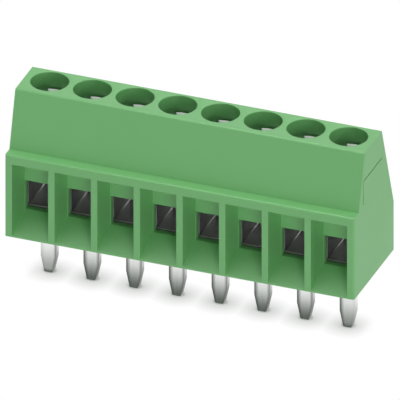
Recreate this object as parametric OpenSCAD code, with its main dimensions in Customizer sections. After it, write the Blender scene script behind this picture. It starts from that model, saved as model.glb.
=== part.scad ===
// Board-mounted screw terminal block, eight poles at 2.54 mm.
// X runs along the row, the wire entries face -Y, and Z = 0 is the top of the circuit board.
// The origin is the middle of the pin row. Every clamp is drawn fully open, with its sleeve down.

/* [Row] */
// Number of poles side by side
poles = 8; // [2:1:12]
// Distance from one pole to the next
pitch = 2.54; // [2.54:0.01:3.81]
// How far each end wall reaches past the last half pitch
end_reach = 0.23; // [0.1:0.01:1]

/* [Housing] */
// Depth from the wire side to the back
body_depth = 6.2; // [5.9:0.1:9]
// Height from the board to the top face
body_h = 8.5; // [8.2:0.1:12]
// Distance from the wire side back to the row of screws and pins
row_setback = 3.1; // [2.7:0.1:3.6]
// Height of the ledge over the wire entries
ledge_h = 5.15; // [4.6:0.05:6.5]
// Depth of the ledge, from the wire side to the foot of the tower
ledge_depth = 0.72; // [0.4:0.02:1.2]
// How far the top face reaches in front of the screw row
top_front = 1.45; // [1.3:0.05:1.9]
// How far the top face reaches behind the screw row
top_back = 1.25; // [1.25:0.05:1.9]
// Height at which the back starts to lean in
knee_h = 3.1; // [1:0.1:5]
// Rounding of the front edges of the ledge and of the top face
front_edge_r = 0.14; // [0.05:0.01:0.3]
// Rounding of the two upright corners in front
corner_r = 0.12; // [0.04:0.01:0.2]
// Wall between two neighbouring clamp chambers
partition_t = 0.22; // [0.16:0.01:0.5]
// Wall between a wire entry and its clamp chamber
front_wall_t = 0.4; // [0.2:0.02:0.7]

/* [Seam on the end walls] */
// Height of the level stretch of the seam
seam_h = 6.82; // [6.2:0.01:7.8]
// Distance of the upright stretch in front of the screw row
seam_front = 1.66; // [1.4:0.02:1.8]
// How far the level stretch runs behind the screw row
seam_back = 1.27; // [0.8:0.01:1.5]
// Rounding of the corner between the two stretches
seam_r = 0.3; // [0.1:0.05:0.6]
// Height above the ledge at which the upright stretch ends
seam_foot = 0.1; // [0:0.05:0.6]
// Width of the seam
seam_w = 0.08; // [0.02:0.01:0.1]
// Depth of the seam
seam_d = 0.08; // [0.01:0.01:0.1]

/* [Wire entries] */
// Thickness of the rib between two wire entries
rib_t = 0.38; // [0.3:0.02:0.6]
// Height of the bar between the wire entries and the ledge
lintel_t = 0.54; // [0.3:0.03:1]
// Depth over which the side walls of an entry run straight
funnel_straight = 0.86; // [0.5:0.01:1]
// Height of the upright edge at the front of an entry's floor
lip_h = 0.1; // [0.05:0.05:0.2]
// Height of the lip that leans back above that edge
lip_top = 0.5; // [0.3:0.02:0.5]
// How far the lip leans back
lip_lean = 0.24; // [0.1:0.02:0.28]
// Rounding of the lip's upper edge
lip_r = 0.4; // [0.1:0.05:0.5]
// How far that rounding stands proud of the two faces it joins
lip_bead = 0.003; // [0.002:0.001:0.01]
// Height of the crease where the floor steepens towards the window
crease_h = 0.56; // [0.52:0.02:0.8]
// How much wider the back of the entry is than its window, on each side
throat_margin = 0.02; // [0.02:0.01:0.15]
// How much wider the window is than the sleeve's opening, on each side
window_reveal = 0.05; // [0.02:0.01:0.15]
// How far the window's sill lies below the floor of an open sleeve
sill_drop = 0.1; // [0:0.02:0.2]
// How far the window's head lies below the contact's tongue
head_drop = 0.06; // [0:0.02:0.2]

/* [Screw] */
// Nominal diameter of the thread
thread_d = 1.6; // [1:0.1:1.6]
// Rise of the thread in one turn
thread_pitch = 0.35; // [0.2:0.05:0.4]
// Diameter of the screw's head
head_d = 2.25; // [2.1:0.05:2.25]
// Height of the screw's head
head_h = 0.9; // [0.6:0.05:1]
// Chamfer round the top of the head
head_chamfer = 0.1; // [0.02:0.02:0.2]
// Width of the driver slot
slot_w = 0.45; // [0.25:0.05:0.6]
// Depth of the driver slot
slot_depth = 0.45; // [0.2:0.05:0.55]
// Direction of the driver slot, from the row
slot_angle = 130; // [0:5:175]
// Diameter of the flat on the screw's tip
tip_flat_d = 0.8; // [0.4:0.1:1]
// How far the roof laps over the rim of the head
roof_lap = 0.03; // [0.02:0.01:0.1]

/* [Clamp sleeve] */
// Wall and floor of the sleeve
sleeve_wall = 0.3; // [0.2:0.01:0.32]
// Distance from the screw row to the front of the sleeve
sleeve_front = 1.13; // [1.05:0.01:1.3]
// Distance from the screw row to the back of the sleeve
sleeve_back = 1.42; // [1.1:0.02:1.5]
// Clear height for a wire in an open sleeve
wire_h = 1.78; // [1.3:0.02:1.9]
// Height of the threaded block on top of the sleeve
nut_h = 1.2; // [0.8:0.05:1.3]
// Rounding of the sleeve's inner corners
sleeve_r = 0.06; // [0.04:0.01:0.3]

/* [Contact] */
// Thickness of the strip that the contact is folded from
strip_t = 0.5; // [0.3:0.05:0.55]
// Width of the tongue that the wire is clamped against
tongue_w = 1.3; // [0.8:0.05:1.4]
// Distance from the screw row to the front of the tongue
tongue_front = 1.08; // [0.8:0.02:1.1]
// Inside radius of each fold
fold_r = 0.2; // [0.1:0.05:0.3]
// Height of the contact's foot above the board
foot_h = 0.2; // [0.1:0.05:0.3]
// Width of the solder pin
pin_w = 0.9; // [0.5:0.05:1.2]
// Length of the solder pin below the board's top
pin_len = 3.5; // [2:0.1:5]
// Length of the pin's tapered end
taper_len = 1; // [0.4:0.1:1.8]
// Width of the pin where its end chamfer starts
tip_w = 0.5; // [0.3:0.05:0.5]
// Chamfer at the end of the pin
tip_chamfer = 0.04; // [0.02:0.02:0.14]

/* [Clearances] */
// Gap between a sleeve and each wall that guides it
slide_gap = 0.04; // [0.02:0.01:0.06]
// Gap between the screw's thread and the sleeve's
thread_gap = 0.02; // [0.01:0.01:0.05]
// Gap round the screw's head in its chamber
head_gap = 0.025; // [0.015:0.005:0.05]
// Gap between the screw's tip and the tongue
tip_gap = 0.02; // [0.01:0.01:0.05]
// Gap between an open sleeve and the contact's foot
floor_gap = 0.16; // [0.05:0.01:0.2]
// Gap between the tongue and the threaded block of an open sleeve
nut_gap = 0.1; // [0.05:0.01:0.2]
// Gap left between the floor of a closed sleeve and the tongue
closed_gap = 0.03; // [0.02:0.01:0.1]
// Gap between the threaded block of a closed sleeve and the screw's head
raised_gap = 0.1; // [0.05:0.01:0.2]
// Room above the screw's head, under the roof
head_play = 0.22; // [0.05:0.01:0.3]
// Gap between the sleeve's back and the start of the contact's fold
fold_gap = 0.03; // [0.02:0.01:0.1]
// Gap on each side of the contact's back leg in its slot
leg_gap = 0.01; // [0.01:0.01:0.03]

/* [Hidden] */
$fn = 64;
// How far a cutting shape runs past the face that it opens
over = 0.1;

// Widths across one pole
body_w = poles * pitch + 2 * end_reach;
chamber_w = pitch - partition_t;
sleeve_w = chamber_w - 2 * slide_gap;
wire_w = sleeve_w - 2 * sleeve_wall;
window_w = wire_w + 2 * window_reveal;
throat_w = window_w + 2 * throat_margin;
funnel_w = pitch - rib_t;
leg_w = chamber_w - 2 * leg_gap;
bore_d = head_d - 2 * roof_lap;
head_chamber_d = head_d + 2 * head_gap;

// The thread is drawn as its pitch cylinder
shank_d = thread_d - 0.6495 * thread_pitch;
nut_bore_d = shank_d + 2 * thread_gap;

// Depths, from front to back
front_y = -row_setback;
back_y = body_depth - row_setback;
tower_y = front_y + ledge_depth;
chamber_front = -sleeve_front - slide_gap;
chamber_back = sleeve_back + slide_gap;
funnel_back = chamber_front - front_wall_t;
fold_outer_r = fold_r + strip_t;
leg_front = sleeve_back + fold_gap + fold_r;
leg_back = leg_front + strip_t;
fold_y = leg_back - fold_outer_r;

// Heights, stacked from the board up
foot_top = foot_h + strip_t;
sleeve_bottom = foot_top + floor_gap;
sleeve_floor = sleeve_bottom + sleeve_wall;
tongue_bottom = sleeve_floor + wire_h;
tongue_top = tongue_bottom + strip_t;
nut_bottom = tongue_top + nut_gap;
nut_top = nut_bottom + nut_h;
travel = wire_h - closed_gap;
head_bottom = nut_top + travel + raised_gap;
head_top = head_bottom + head_h;
roof_bottom = head_top + head_play;
window_bottom = sleeve_floor - sill_drop;
window_top = tongue_bottom - head_drop;
funnel_top = ledge_h - lintel_t;

// Moves a shape from the middle of the row to pole i, counted from the left end
module at_pole(i) {
    translate([(i - (poles + 1) / 2) * pitch, 0, 0]) children();
}

// Extrudes an outline drawn in depth and height over a width that is centred on the pole
module across(w) {
    translate([-w / 2, 0, 0]) rotate([90, 0, 90]) linear_extrude(w) children();
}

// Extrudes an outline drawn in width and height from depth y0 back to depth y1
module through(y0, y1) {
    translate([0, y1, 0]) rotate([90, 0, 0]) linear_extrude(y1 - y0) children();
}

// Start, centre and end of a rounding of radius r at corner p, between the sides towards q and s
function rounding(p, q, s, r) = let (
    u = (q - p) / norm(q - p),
    v = (s - p) / norm(s - p),
    half = acos(u * v) / 2,
    reach = r / tan(half)
) [p + u * reach, p + (u + v) / norm(u + v) * r / sin(half), p + v * reach];

// The waste outside such a rounding
module corner_waste(p, q, s, r) {
    bend = rounding(p, q, s, r);
    difference() {
        polygon([p, bend[0], bend[1], bend[2]]);
        translate(bend[1]) circle(r);
    }
}

// A rectangle from corner a to corner b, with its lower corners rounded
module tub(a, b, r) {
    translate([a[0] + r, a[1]]) square([b[0] - a[0] - 2 * r, b[1] - a[1]]);
    translate([a[0], a[1] + r]) square([b[0] - a[0], b[1] - a[1] - r]);
    for (x = [a[0] + r, b[0] - r]) translate([x, a[1] + r]) circle(r);
}

// Section of the housing in depth and height
module body_section() {
    bottom_front = [front_y, 0];
    ledge_front = [front_y, ledge_h];
    tower_foot = [tower_y, ledge_h];
    crest_front = [-top_front, body_h];
    crest_back = [top_back, body_h];
    knee = [back_y, knee_h];
    bottom_back = [back_y, 0];
    difference() {
        polygon([bottom_front, ledge_front, tower_foot, crest_front, crest_back, knee, bottom_back]);
        corner_waste(ledge_front, bottom_front, tower_foot, front_edge_r);
        corner_waste(crest_front, tower_foot, crest_back, front_edge_r);
    }
}

// Outline of the housing on the board
module footprint() {
    half = body_w / 2;
    translate([-half + corner_r, front_y]) square([body_w - 2 * corner_r, body_depth]);
    translate([-half, front_y + corner_r]) square([body_w, body_depth - corner_r]);
    for (x = [-half + corner_r, half - corner_r]) translate([x, front_y + corner_r]) circle(corner_r);
}

// Wire entry: straight sides that then close in, over a rounded lip and a floor that climbs to the window
module wire_funnel() {
    mouth = front_y - over;
    crease_y = front_y + funnel_straight;
    lip_foot = [front_y, lip_h];
    crease = [crease_y, crease_h];
    lip = rounding([front_y + lip_lean, lip_top], lip_foot, crease, lip_r);
    intersection() {
        linear_extrude(funnel_top) polygon([
            [-funnel_w / 2, mouth], [-funnel_w / 2, crease_y], [-throat_w / 2, funnel_back],
            [throat_w / 2, funnel_back], [funnel_w / 2, crease_y], [funnel_w / 2, mouth]
        ]);
        across(pitch) difference() {
            polygon([
                [mouth, lip_h], lip_foot, lip[0], lip[2], crease, [funnel_back, window_bottom],
                [funnel_back, body_h], [mouth, body_h]
            ]);
            translate(lip[1]) circle(lip_r + lip_bead);
        }
    }
}

// Everything that is hollow in one pole of the housing
module pole_cavity() {
    wire_funnel();
    through(funnel_back - over, chamber_front + over)
        translate([-window_w / 2, window_bottom]) square([window_w, window_top - window_bottom]);
    // Chamber that the sleeve rises in, open below so that the metal parts go in from the board side
    translate([-chamber_w / 2, chamber_front, -over])
        cube([chamber_w, chamber_back - chamber_front, head_bottom + over]);
    // Slot for the contact's back leg
    translate([-chamber_w / 2, chamber_back - over, -over])
        cube([chamber_w, leg_back - chamber_back + over, tongue_top + nut_gap + over]);
    // Chamber of the screw's head, and the driver's bore above it
    translate([0, 0, head_bottom - over]) cylinder(d = head_chamber_d, h = roof_bottom - head_bottom + over);
    translate([0, 0, roof_bottom - over]) cylinder(d = bore_d, h = body_h - roof_bottom + 2 * over);
}

// Panel below and behind the seam, drawn in depth and height and shrunk by inset
module seam_panel(inset) {
    low = [-seam_front + inset, ledge_h + seam_foot];
    high = [seam_back, seam_h - inset];
    r = seam_r - inset;
    translate([low[0] + r, low[1]]) square([high[0] - low[0] - r, high[1] - low[1]]);
    translate(low) square([high[0] - low[0], high[1] - low[1] - r]);
    translate([low[0] + r, high[1] - r]) circle(r);
}

// Fine seam where the two halves of the mould meet on an end wall
module seam() {
    across(2 * seam_d) difference() {
        seam_panel(0);
        seam_panel(seam_w);
    }
}

// Moulded housing: one piece, with a funnel, a clamp chamber and a driver's bore for each pole
module housing() {
    color("#70b174") difference() {
        intersection() {
            across(body_w) body_section();
            linear_extrude(body_h) footprint();
        }
        for (i = [1:poles]) at_pole(i) pole_cavity();
        for (x = [-body_w / 2, body_w / 2]) translate([x, 0, 0]) seam();
    }
}

// Slotted clamping screw, turned from steel, standing on the tongue with its head under the roof
module screw() {
    tip_z = tongue_top + tip_gap;
    tip_r = tip_flat_d / 2;
    color("#d8dadb") difference() {
        rotate_extrude() polygon([
            [0, tip_z], [tip_r, tip_z], [shank_d / 2, tip_z + shank_d / 2 - tip_r],
            [shank_d / 2, head_bottom], [head_d / 2, head_bottom], [head_d / 2, head_top - head_chamfer],
            [head_d / 2 - head_chamfer, head_top], [0, head_top]
        ]);
        rotate(slot_angle) translate([-head_d, -slot_w / 2, head_top - slot_depth])
            cube([2 * head_d, slot_w, slot_depth + over]);
    }
}

// Rising sleeve: a short length of section, open to the wire, with a threaded block on top
module clamp_sleeve() {
    color("#8d9092") difference() {
        through(-sleeve_front, sleeve_back) difference() {
            tub([-sleeve_w / 2, sleeve_bottom], [sleeve_w / 2, nut_top], sleeve_r + sleeve_wall);
            tub([-wire_w / 2, sleeve_floor], [wire_w / 2, nut_bottom], sleeve_r);
        }
        translate([0, 0, nut_bottom - over]) cylinder(d = nut_bore_d, h = nut_h + 2 * over);
    }
}

// Quarter of a fold, drawn in depth and height round its centre, in the corner given by the signs
module fold(centre, sign_y, sign_z) {
    translate(centre) intersection() {
        difference() {
            circle(fold_outer_r);
            circle(fold_r);
        }
        polygon([[0, 0], [sign_y, 0] * fold_outer_r, [sign_y, sign_z] * fold_outer_r, [0, sign_z] * fold_outer_r]);
    }
}

// Outline of the solder pin in width and height, from its fold down to the chamfered end
module pin_outline() {
    shoulder = taper_len - pin_len;
    end_w = tip_w - 2 * tip_chamfer;
    polygon([
        [-pin_w / 2, foot_top], [-pin_w / 2, shoulder],
        [-tip_w / 2, tip_chamfer - pin_len], [-end_w / 2, -pin_len],
        [end_w / 2, -pin_len], [tip_w / 2, tip_chamfer - pin_len],
        [pin_w / 2, shoulder], [pin_w / 2, foot_top]
    ]);
}

// Contact folded from one strip: a tongue through the sleeve, a leg behind it, a foot below and the pin
module contact_pin() {
    half_t = strip_t / 2;
    pin_fold = [half_t + fold_r, foot_top - fold_outer_r];
    upper_fold = [fold_y, tongue_top - fold_outer_r];
    lower_fold = [fold_y, foot_h + fold_outer_r];
    color("#c9ccce") union() {
        across(tongue_w) {
            translate([-tongue_front, tongue_bottom]) square([tongue_front + fold_y, strip_t]);
            fold(upper_fold, 1, 1);
        }
        across(leg_w)
            translate([leg_front, lower_fold[1]]) square([strip_t, upper_fold[1] - lower_fold[1]]);
        intersection() {
            across(pin_w) {
                fold(lower_fold, 1, -1);
                translate([pin_fold[0], foot_h]) square([fold_y - pin_fold[0], strip_t]);
                fold(pin_fold, -1, 1);
                translate([-half_t, -pin_len]) square([strip_t, pin_len + pin_fold[1]]);
            }
            through(-leg_back, leg_back + over) union() {
                pin_outline();
                translate([-pin_w / 2, 0]) square([pin_w, lower_fold[1] + over]);
            }
        }
    }
}

housing();
for (i = [1:poles]) {
    at_pole(i) screw();
    at_pole(i) clamp_sleeve();
    at_pole(i) contact_pin();
}
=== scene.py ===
import math

import bpy
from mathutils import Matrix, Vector


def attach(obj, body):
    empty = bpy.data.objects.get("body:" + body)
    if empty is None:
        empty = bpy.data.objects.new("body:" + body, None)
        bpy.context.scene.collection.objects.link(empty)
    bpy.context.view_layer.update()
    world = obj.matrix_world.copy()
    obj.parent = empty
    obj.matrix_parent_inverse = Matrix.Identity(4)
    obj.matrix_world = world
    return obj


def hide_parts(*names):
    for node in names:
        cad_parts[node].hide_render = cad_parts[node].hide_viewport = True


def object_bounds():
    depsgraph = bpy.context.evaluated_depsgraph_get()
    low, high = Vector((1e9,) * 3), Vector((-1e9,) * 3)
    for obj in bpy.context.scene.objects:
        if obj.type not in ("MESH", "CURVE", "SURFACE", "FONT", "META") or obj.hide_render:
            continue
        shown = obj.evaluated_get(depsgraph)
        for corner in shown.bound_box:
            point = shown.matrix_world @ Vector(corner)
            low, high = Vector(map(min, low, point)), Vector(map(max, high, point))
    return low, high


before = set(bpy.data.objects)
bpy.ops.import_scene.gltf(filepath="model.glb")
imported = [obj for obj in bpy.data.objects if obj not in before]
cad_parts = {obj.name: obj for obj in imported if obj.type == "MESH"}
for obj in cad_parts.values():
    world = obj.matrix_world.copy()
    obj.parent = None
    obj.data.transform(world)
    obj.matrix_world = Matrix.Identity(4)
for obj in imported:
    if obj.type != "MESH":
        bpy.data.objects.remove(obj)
cad_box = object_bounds()


# Housing
# One injection moulding in green polyamide with a spark-eroded skin. Every outer edge is a little soft,
# the floor of each wire entry slopes up to its window, and polished core pins leave the driver's bores
# smooth. Inside the bores the colour is darkened as painted shade. A hair-thin line on each end wall
# shows where the mould parts.
MERGE_REACH = 1e-7
FLAT_ANGLE = math.radians(0.5)


def new_piece(name, mesh):
    bpy.ops.object.select_all(action="DESELECT")
    piece = bpy.data.objects.new(name, mesh)
    bpy.context.collection.objects.link(piece)
    bpy.context.view_layer.objects.active = piece
    piece.select_set(True)
    return piece


def merged_copy(node, name):
    piece = new_piece(name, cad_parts[node].data.copy())
    piece.data.materials.clear()
    bpy.ops.mesh.customdata_custom_splitnormals_clear()
    bpy.ops.object.mode_set(mode="EDIT")
    bpy.ops.mesh.select_all(action="SELECT")
    bpy.ops.mesh.remove_doubles(threshold=MERGE_REACH)
    bpy.ops.mesh.dissolve_limited(angle_limit=FLAT_ANGLE)
    bpy.ops.object.mode_set(mode="OBJECT")
    return piece


def select_edges(piece, wanted):
    bpy.ops.object.mode_set(mode="OBJECT")
    corners = piece.data.vertices
    for edge in piece.data.edges:
        a, b = (corners[i].co for i in edge.vertices)
        edge.select = wanted(edge, a, b)
    bpy.ops.object.mode_set(mode="EDIT")


# The part of an entry floor that holds its rounded lip and the crease behind it
ENTRY_FLOOR_Y = (-3.05e-3, -2.20e-3)
ENTRY_FLOOR_Z = (0.25e-3, 0.60e-3)
CREASE_LIFT = 0.08e-3


def on_entry_floor(point):
    in_depth = ENTRY_FLOOR_Y[0] < point.y < ENTRY_FLOOR_Y[1]
    return in_depth and ENTRY_FLOOR_Z[0] < point.z < ENTRY_FLOOR_Z[1]


def crosses_entry_floor(edge, a, b):
    along_row = abs(a.y - b.y) + abs(a.z - b.z) < MERGE_REACH
    return along_row and on_entry_floor(a) and on_entry_floor(b)


# The lip's lines are dissolved, and the crease is lifted on to the slope from front edge to window sill
def straighten_entry_floors(piece):
    bpy.ops.object.mode_set(mode="EDIT")
    bpy.ops.mesh.select_mode(type="EDGE")
    bpy.ops.mesh.select_all(action="DESELECT")
    select_edges(piece, crosses_entry_floor)
    bpy.ops.mesh.dissolve_edges(use_verts=True)
    bpy.ops.mesh.select_mode(type="VERT")
    bpy.ops.mesh.select_all(action="DESELECT")
    bpy.ops.object.mode_set(mode="OBJECT")
    for corner in piece.data.vertices:
        corner.select = on_entry_floor(corner.co)
    bpy.ops.object.mode_set(mode="EDIT")
    bpy.ops.transform.translate(value=(0.0, 0.0, CREASE_LIFT))
    bpy.ops.object.mode_set(mode="OBJECT")


SHARP_ANGLE = math.radians(30)
SMOOTH_ANGLE = math.radians(40)


def soften_edges(piece, radius, segments, picks=lambda a, b: True):
    bpy.ops.object.mode_set(mode="EDIT")
    bpy.ops.mesh.select_all(action="SELECT")
    bpy.ops.mesh.vert_connect_concave()
    bpy.ops.mesh.select_mode(type="EDGE")
    bpy.ops.mesh.select_all(action="DESELECT")
    bpy.ops.mesh.edges_select_sharp(sharpness=SHARP_ANGLE)
    select_edges(piece, lambda edge, a, b: edge.select and picks(a, b))
    bpy.ops.mesh.bevel(offset=radius, segments=segments, profile=0.5, clamp_overlap=True, affect="EDGES")
    bpy.ops.object.mode_set(mode="OBJECT")
    bpy.ops.object.shade_smooth_by_angle(angle=SMOOTH_ANGLE)
    flats = piece.modifiers.new("level_flats", "WEIGHTED_NORMAL")
    flats.keep_sharp = True
    bpy.ops.object.modifier_apply(modifier=flats.name)


HALF_W = cad_box[1][0]
FRONT_Y = cad_box[0][1]
ROOF_TOP = cad_box[1][2]
KNEE_Z = 3.1e-3
KNEE_MIN_Y = 1.2e-3
SEAM_MIN_Y = -1.7e-3
SEAM_Z = (5.2e-3, 6.86e-3)
WALL_REACH = 0.06e-3
FACE_REACH = 0.1e-3
LINE_REACH = 0.01e-3


def outer_edge(a, b):
    on_end = min(abs(a.x), abs(b.x)) > HALF_W - WALL_REACH
    in_seam = on_end and all(p.y > SEAM_MIN_Y and SEAM_Z[0] < p.z < SEAM_Z[1] for p in (a, b))
    on_front = max(a.y, b.y) < FRONT_Y + FACE_REACH
    on_roof = min(a.z, b.z) > ROOF_TOP - FACE_REACH
    on_board = max(a.z, b.z) < LINE_REACH
    on_knee = all(p.y > KNEE_MIN_Y and abs(p.z - KNEE_Z) < LINE_REACH for p in (a, b))
    return not in_seam and (on_end or on_front or on_roof or on_board or on_knee)


class Grain:
    def __init__(self, tree, socket=None):
        self.tree = tree
        self.socket = socket

    def node(self, kind, settings, sockets, output=0):
        made = self.tree.nodes.new(kind)
        for name, value in settings.items():
            setattr(made, name, value)
        for name, value in sockets.items():
            self.into(made.inputs[name], value)
        return Grain(self.tree, made.outputs[output])

    def into(self, socket, value):
        if isinstance(value, Grain):
            self.tree.links.new(value.socket, socket)
        else:
            socket.default_value = value

    def maths(self, operation, *values):
        return self.node("ShaderNodeMath", {"operation": operation}, dict(enumerate(values)))

    def __add__(self, other):
        return self.maths("ADD", self, other)

    def __radd__(self, other):
        return self.maths("ADD", other, self)

    def __sub__(self, other):
        return self.maths("SUBTRACT", self, other)

    def __rsub__(self, other):
        return self.maths("SUBTRACT", other, self)

    def __mul__(self, other):
        return self.maths("MULTIPLY", self, other)

    def __rmul__(self, other):
        return self.maths("MULTIPLY", other, self)

    def __truediv__(self, other):
        return self.maths("DIVIDE", self, other)

    def __pow__(self, other):
        return self.maths("POWER", self, other)

    def along(self, axis):
        return self.node("ShaderNodeSeparateXYZ", {}, {"Vector": self}, axis)

    def stretched(self, scale):
        return self.node("ShaderNodeMapping", {}, {"Vector": self, "Scale": scale})

    def noise(self, scale, detail):
        return self.node("ShaderNodeTexNoise", {}, {"Vector": self, "Scale": scale, "Detail": detail})

    def fade(self, start, end):
        return self.node(
            "ShaderNodeMapRange", {"interpolation_type": "SMOOTHSTEP"},
            {"Value": self, "From Min": start, "From Max": end, "To Min": 0.0, "To Max": 1.0})

    # A Mix node has its two colours at sockets 6 and 7 and the mixed one at output 2
    def blend(self, base, cover):
        return self.node("ShaderNodeMix", {"data_type": "RGBA"}, {0: self, 6: base, 7: cover}, 2)

    def relief(self, strength, depth):
        return self.node("ShaderNodeBump", {}, {"Strength": strength, "Distance": depth, "Height": self})


def new_finish(name):
    finish = bpy.data.materials.new(name)
    finish.use_nodes = True
    place = Grain(finish.node_tree).node("ShaderNodeTexCoord", {}, {}, "Object")
    return finish, place


def set_looks(finish, looks):
    shader = finish.node_tree.nodes["Principled BSDF"]
    for name, value in looks.items():
        Grain(finish.node_tree).into(shader.inputs[name], value)


PITCH = 2.54e-3


# The walls between poles lie on multiples of the pitch, and each screw's axis midway between two walls
def beside_pole(place):
    return place.maths("WRAP", place.along("X"), PITCH, 0.0) - PITCH / 2


def screw_radius(place):
    beside = beside_pole(place)
    behind = place.along("Y")
    return (beside * beside + behind * behind) ** 0.5


PLASTIC_GREEN = (0.180, 0.485, 0.176, 1.0)
PLASTIC_DEEP = (0.170, 0.465, 0.166, 1.0)
PLASTIC_BORE_SHADE = (0.130, 0.390, 0.127, 1.0)
BORE_RADII = (1.20e-3, 1.16e-3)
BORE_TOP = (ROOF_TOP, 8.42e-3)
BORE_BOTTOM = (6.4e-3, 6.5e-3)
LAST_BORE_X = (10.25e-3, 10.10e-3)

moulded, place = new_finish("moulded_polyamide")
cloudy = place.noise(420.0, 3.0)
eroded = place.noise(9000.0, 2.0)
row_x = place.along("X")
height = place.along("Z")
# Painted shade: the colour inside the screw bores is darkened to stand in for the shade there; the same
# mask makes them glossier
bore_shade_and_polish = screw_radius(place).fade(*BORE_RADII) * height.fade(*BORE_TOP) * height.fade(*BORE_BOTTOM)
bore_shade_and_polish = bore_shade_and_polish * (row_x * row_x).fade(*(x ** 2 for x in LAST_BORE_X))
set_looks(moulded, {
    "Base Color": bore_shade_and_polish.blend(cloudy.blend(PLASTIC_GREEN, PLASTIC_DEEP), PLASTIC_BORE_SHADE),
    "Roughness": 0.38 + 0.12 * cloudy - 0.1 * bore_shade_and_polish,
    "Normal": eroded.relief(0.2, 2e-6),
})

MOULD_RADIUS = 0.05e-3

housing = merged_copy("housing", "moulded_housing")
straighten_entry_floors(housing)
soften_edges(housing, MOULD_RADIUS, 2, outer_edge)
housing.data.materials.append(moulded)
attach(housing, "base")
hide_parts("housing")


# Contacts and solder pins
# Each contact is stamped from tin-plated strip and folded: a tongue for the wire, a leg behind the
# clamp, a foot on the board and a flat pin that tapers to its end. The stamping leaves soft edges.
# The pin's colour is painted darker towards its end and along its two edges, less on the outer two
# pins, as painted reflection of the shaded table and of the neighbouring pins.
POLES = range(1, 9)


def along_row(first, name):
    row = [first]
    for pole in POLES[1:]:
        piece = new_piece(f"{name}_{pole}", first.data.copy())
        bpy.ops.transform.translate(value=((pole - 1) * PITCH, 0.0, 0.0))
        bpy.ops.object.transform_apply(location=True, rotation=False, scale=False)
        row.append(piece)
    return row


TIN_BRIGHT = (0.96, 0.965, 0.96, 1.0)
# This dark colour is a painted reflection of the shaded surroundings
TIN_REFLECTED_DARK = (0.097, 0.115, 0.098, 1.0)
PIN_END = cad_box[0][2]
TAPER_TOP = -2.5e-3
TIP_HALF_W = 0.25e-3
PIN_HALF_W = 0.45e-3
OUTER_PIN_X = (8.2e-3, 8.4e-3)
PIN_TOP = (0.0, -0.2e-3)
PIN_BACK_Y = (-0.2e-3, 0.0)
SIDE_SHINE_Z = (-2.8e-3, -2.0e-3)
TIP_SHADE_Z = (-1.65e-3, -3.45e-3)
OUTER_PIN_LIGHT_Z = (-3.45e-3, -3.2e-3)

tinned, place = new_finish("tin_plate")
streaks = place.stretched((1.0, 1.0, 0.06)).noise(14000.0, 3.0)
row_x = place.along("X")
height = place.along("Z")
half_width = place.node("ShaderNodeMapRange", {}, {
    "Value": height,
    "From Min": PIN_END, "From Max": TAPER_TOP,
    "To Min": TIP_HALF_W, "To Max": PIN_HALF_W,
})
across = beside_pole(place) / half_width
first_pin = row_x.fade(*(-x for x in OUTER_PIN_X))
last_pin = row_x.fade(*OUTER_PIN_X)
# Painted reflection: dark bands along the pin edges and towards the tip, lighter on the outer pins and on
# the upper side face
left_edge_reflection = 0.95 * across.fade(-0.3, -1.0) * (1.0 - 0.75 * first_pin)
right_edge_reflection = 0.8 * across.fade(0.62, 1.1) * (1.0 - 0.75 * last_pin)
side_shine = 0.65 * (place.along("Y").fade(*PIN_BACK_Y) * height.fade(*SIDE_SHINE_Z))
edges = (left_edge_reflection + right_edge_reflection) * height.fade(*PIN_TOP) * (1.0 - side_shine)
outer_pin_brightening = (0.35 * first_pin + 0.2 * last_pin) * height.fade(*OUTER_PIN_LIGHT_Z)
tip_shade = 0.93 * height.fade(*TIP_SHADE_Z) * (1.0 - outer_pin_brightening)
reflection_shade_and_streaks = 1.0 - (1.0 - tip_shade) * (1.0 - edges) + 0.1 * (streaks - 0.5)
set_looks(tinned, {
    "Base Color": reflection_shade_and_streaks.blend(TIN_BRIGHT, TIN_REFLECTED_DARK),
    "Metallic": 1.0,
    "Roughness": 0.12 + 0.10 * streaks,
    "Normal": streaks.relief(0.15, 1.5e-6),
})

STAMPED_RADIUS = 0.08e-3

contact = merged_copy("contact_pin_1", "tinned_contact_1")
soften_edges(contact, STAMPED_RADIUS, 3)
contact.data.materials.append(tinned)
for pole, piece in zip(POLES, along_row(contact, "tinned_contact")):
    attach(piece, "base")
    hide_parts(f"contact_pin_{pole}")


# Rising clamp sleeves
# A sleeve is a short length of drawn rectangular section in nickel-plated copper alloy, with a
# tapped block on top. The sawn ends are duller than the drawn faces.
NICKEL = (0.53, 0.53, 0.52, 1.0)
NICKEL_DARK = (0.15, 0.155, 0.145, 1.0)
SAWN_END_Y = (-1.06e-3, -1.12e-3)

nickelled, place = new_finish("nickel_plate")
draw_lines = place.stretched((1.0, 0.05, 1.0)).noise(12000.0, 3.0)
tarnish = place.noise(1500.0, 2.0)
worn = 0.35 * tarnish + 0.15 * draw_lines + 0.65 * place.along("Y").fade(*SAWN_END_Y)
set_looks(nickelled, {
    "Base Color": worn.blend(NICKEL, NICKEL_DARK),
    "Metallic": 1.0,
    "Roughness": 0.26 + 0.18 * draw_lines,
    "Normal": draw_lines.relief(0.2, 1.5e-6),
})

DRAWN_RADIUS = 0.016e-3

sleeve = merged_copy("clamp_sleeve_1", "rising_sleeve_1")
soften_edges(sleeve, DRAWN_RADIUS, 2)
sleeve.data.materials.append(nickelled)
for pole, piece in zip(POLES, along_row(sleeve, "rising_sleeve")):
    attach(piece, f"sleeve_{pole}")
    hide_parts(f"clamp_sleeve_{pole}")


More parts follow.
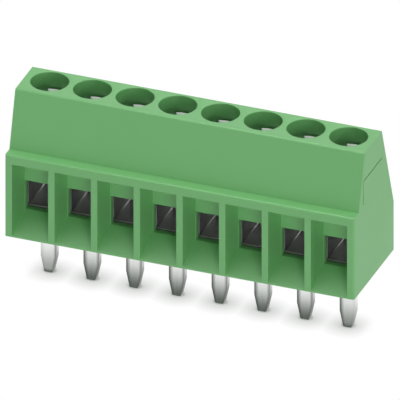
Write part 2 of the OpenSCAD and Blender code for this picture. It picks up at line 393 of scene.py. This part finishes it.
# Clamping screws
# Small slotted screws turned from steel rod and plated. The turning tool leaves fine rings on the
# head, and the slot is sawn across it. The middle and the rim of the head are painted dark as painted
# shade, and the ring between them is painted bright as a painted glint.
STEEL_GLINT = (0.96, 0.97, 0.96, 1.0)
STEEL_SHADE = (0.22, 0.22, 0.215, 1.0)
SHADED_MIDDLE_RADII = (0.50e-3, 0.98e-3)
CHAMFER_RADII = (1.03e-3, 1.0e-3)
RINGS_RADIANS_PER_METRE = 140000.0

plated, place = new_finish("bright_zinc_plate")
radius = screw_radius(place)
rings = place.maths("SINE", radius * RINGS_RADIANS_PER_METRE)
speckle = place.noise(7000.0, 3.0)
turned = rings * 0.25 + speckle
# Painted shade in the middle and on the rim of the head, and a painted glint on the ring between them
bright = radius.fade(*SHADED_MIDDLE_RADII) * radius.fade(*CHAMFER_RADII) * (1.0 - 0.1 * turned)
set_looks(plated, {
    "Base Color": bright.blend(STEEL_SHADE, STEEL_GLINT),
    "Metallic": 1.0 - 0.6 * bright,
    "Roughness": 0.60 + 0.14 * speckle,
    "Normal": turned.relief(0.2, 1.5e-6),
})

TURNED_RADIUS = 0.025e-3

screw = merged_copy("screw_1", "slotted_screw_1")
soften_edges(screw, TURNED_RADIUS, 2)
screw.data.materials.append(plated)
for pole, piece in zip(POLES, along_row(screw, "slotted_screw")):
    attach(piece, f"screw_{pole}")
    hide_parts(f"screw_{pole}")


# Floor
# A plain white studio table that the pin ends stand on. The camera sees it as pure white, mixed with
# matt white round the row of pins, so that the block's soft shadow shows there.
TABLE_SIZE = 0.8
WHITE = (1.0, 1.0, 1.0, 1.0)
TABLE_WHITE = (0.98, 0.98, 0.98, 1.0)
SHADOW_REACH = 1.9e-3
SHADOW_DEPTH = 1.2
ROW_END_X = (9.6e-3, 10.9e-3)

bpy.ops.object.select_all(action="DESELECT")
bpy.ops.mesh.primitive_plane_add(size=TABLE_SIZE, location=(0.0, 0.0, PIN_END))
floor = bpy.context.object
floor.name = "studio_table"
bpy.ops.object.transform_apply(location=True)

table, place = new_finish("white_table")
table.node_tree.nodes.remove(table.node_tree.nodes["Principled BSDF"])
row_x = place.along("X")
beside = beside_pole(place)
behind = SHADOW_DEPTH * place.along("Y")
past_end = (row_x * row_x).fade(*(x ** 2 for x in ROW_END_X))
from_pin = (beside * beside + behind * behind) * SHADOW_REACH ** -2 + past_end
whiteness = (0.28 + 0.72 * from_pin ** 0.3) * (0.4 + 0.6 * from_pin.fade(0.011, 0.069))
whiteness = place.maths("MINIMUM", whiteness, 1.0)


def rays(tree, *kinds):
    first, *others = (Grain(tree).node("ShaderNodeLightPath", {}, {}, f"Is {kind} Ray") for kind in kinds)
    return sum(others, first)


seen = rays(table.node_tree, "Camera", "Transmission") * whiteness + rays(table.node_tree, "Glossy") * 0.6
matt = place.node("ShaderNodeBsdfDiffuse", {}, {"Color": TABLE_WHITE})
white = place.node("ShaderNodeEmission", {}, {"Color": WHITE, "Strength": 1.0})
upper = place.node("ShaderNodeMixShader", {}, {0: seen, 1: matt, 2: white})
under = place.node("ShaderNodeBsdfTransparent", {}, {})
below = place.node("ShaderNodeNewGeometry", {}, {}, "Backfacing")
both = place.node("ShaderNodeMixShader", {}, {0: below, 1: upper, 2: under})
place.into(table.node_tree.nodes["Material Output"].inputs["Surface"], both)
floor.data.materials.append(table)


# Light
# One large soft lamp overhead, a weak one low in front that reaches into the wire entries, and a
# weak one beside the right end. The camera and the bright metal see the room as white.
ROOM_FILL = 0.05

room = bpy.data.worlds.new("white_room")
bpy.context.scene.world = room
room.use_nodes = True
room.node_tree.nodes.remove(room.node_tree.nodes["Background"])
air = Grain(room.node_tree)
fill = air.node("ShaderNodeBackground", {}, {"Color": WHITE, "Strength": ROOM_FILL})
backdrop = air.node("ShaderNodeBackground", {}, {"Color": WHITE, "Strength": 1.0})
seen = rays(room.node_tree, "Camera", "Glossy", "Transmission")
both = air.node("ShaderNodeMixShader", {}, {0: seen, 1: fill, 2: backdrop})
air.into(room.node_tree.nodes["World Output"].inputs["Surface"], both)

# For each lamp: the direction to it, its strength, and the degrees of sky that it fills
LAMPS = {
    "overhead_softbox": (Vector((-0.05, 0.115, 0.992)), 2.36, 56.0),
    "front_right_fill": (Vector((0.50, -0.826, 0.259)), 0.88, 30.0),
    "right_fill": (Vector((0.95, 0.1, 0.295)), 0.38, 35.0),
}
for name, (to_lamp, energy, spread) in LAMPS.items():
    bpy.ops.object.light_add(type="SUN", location=to_lamp)
    lamp = bpy.context.object
    lamp.name = name
    lamp.rotation_euler = to_lamp.to_track_quat("Z", "Y").to_euler()
    lamp.data.energy = energy
    lamp.data.angle = math.radians(spread)


# Camera
# The block is seen level with its row, from the right and above, as through a long lens from far off,
# which leaves no perspective.
VIEW_AZIMUTH = math.radians(20.76)
VIEW_ELEVATION = math.radians(29.06)
VIEW_DISTANCE = 0.1
PIXELS_PER_METRE = 17980.0
FRAME_PIXELS = 400.0
ORIGIN_PIXEL = (199.2, 242.66)

right = Vector((math.cos(VIEW_AZIMUTH), math.sin(VIEW_AZIMUTH), 0.0))
back = Vector((
    math.sin(VIEW_AZIMUTH) * math.cos(VIEW_ELEVATION),
    -math.cos(VIEW_AZIMUTH) * math.cos(VIEW_ELEVATION),
    math.sin(VIEW_ELEVATION)))
up = back.cross(right)
shift = (FRAME_PIXELS / 2 - ORIGIN_PIXEL[0], ORIGIN_PIXEL[1] - FRAME_PIXELS / 2)
aim = (right * shift[0] + up * shift[1]) / PIXELS_PER_METRE

bpy.ops.object.camera_add(location=aim + back * VIEW_DISTANCE)
camera = bpy.context.object
camera.name = "product_camera"
camera.rotation_euler = back.to_track_quat("Z", "Y").to_euler()
camera.data.type = "ORTHO"
camera.data.ortho_scale = FRAME_PIXELS / PIXELS_PER_METRE
camera.data.clip_start = 0.001
camera.data.clip_end = 10.0
bpy.context.scene.camera = camera
bpy.context.scene.view_settings.view_transform = "Standard"
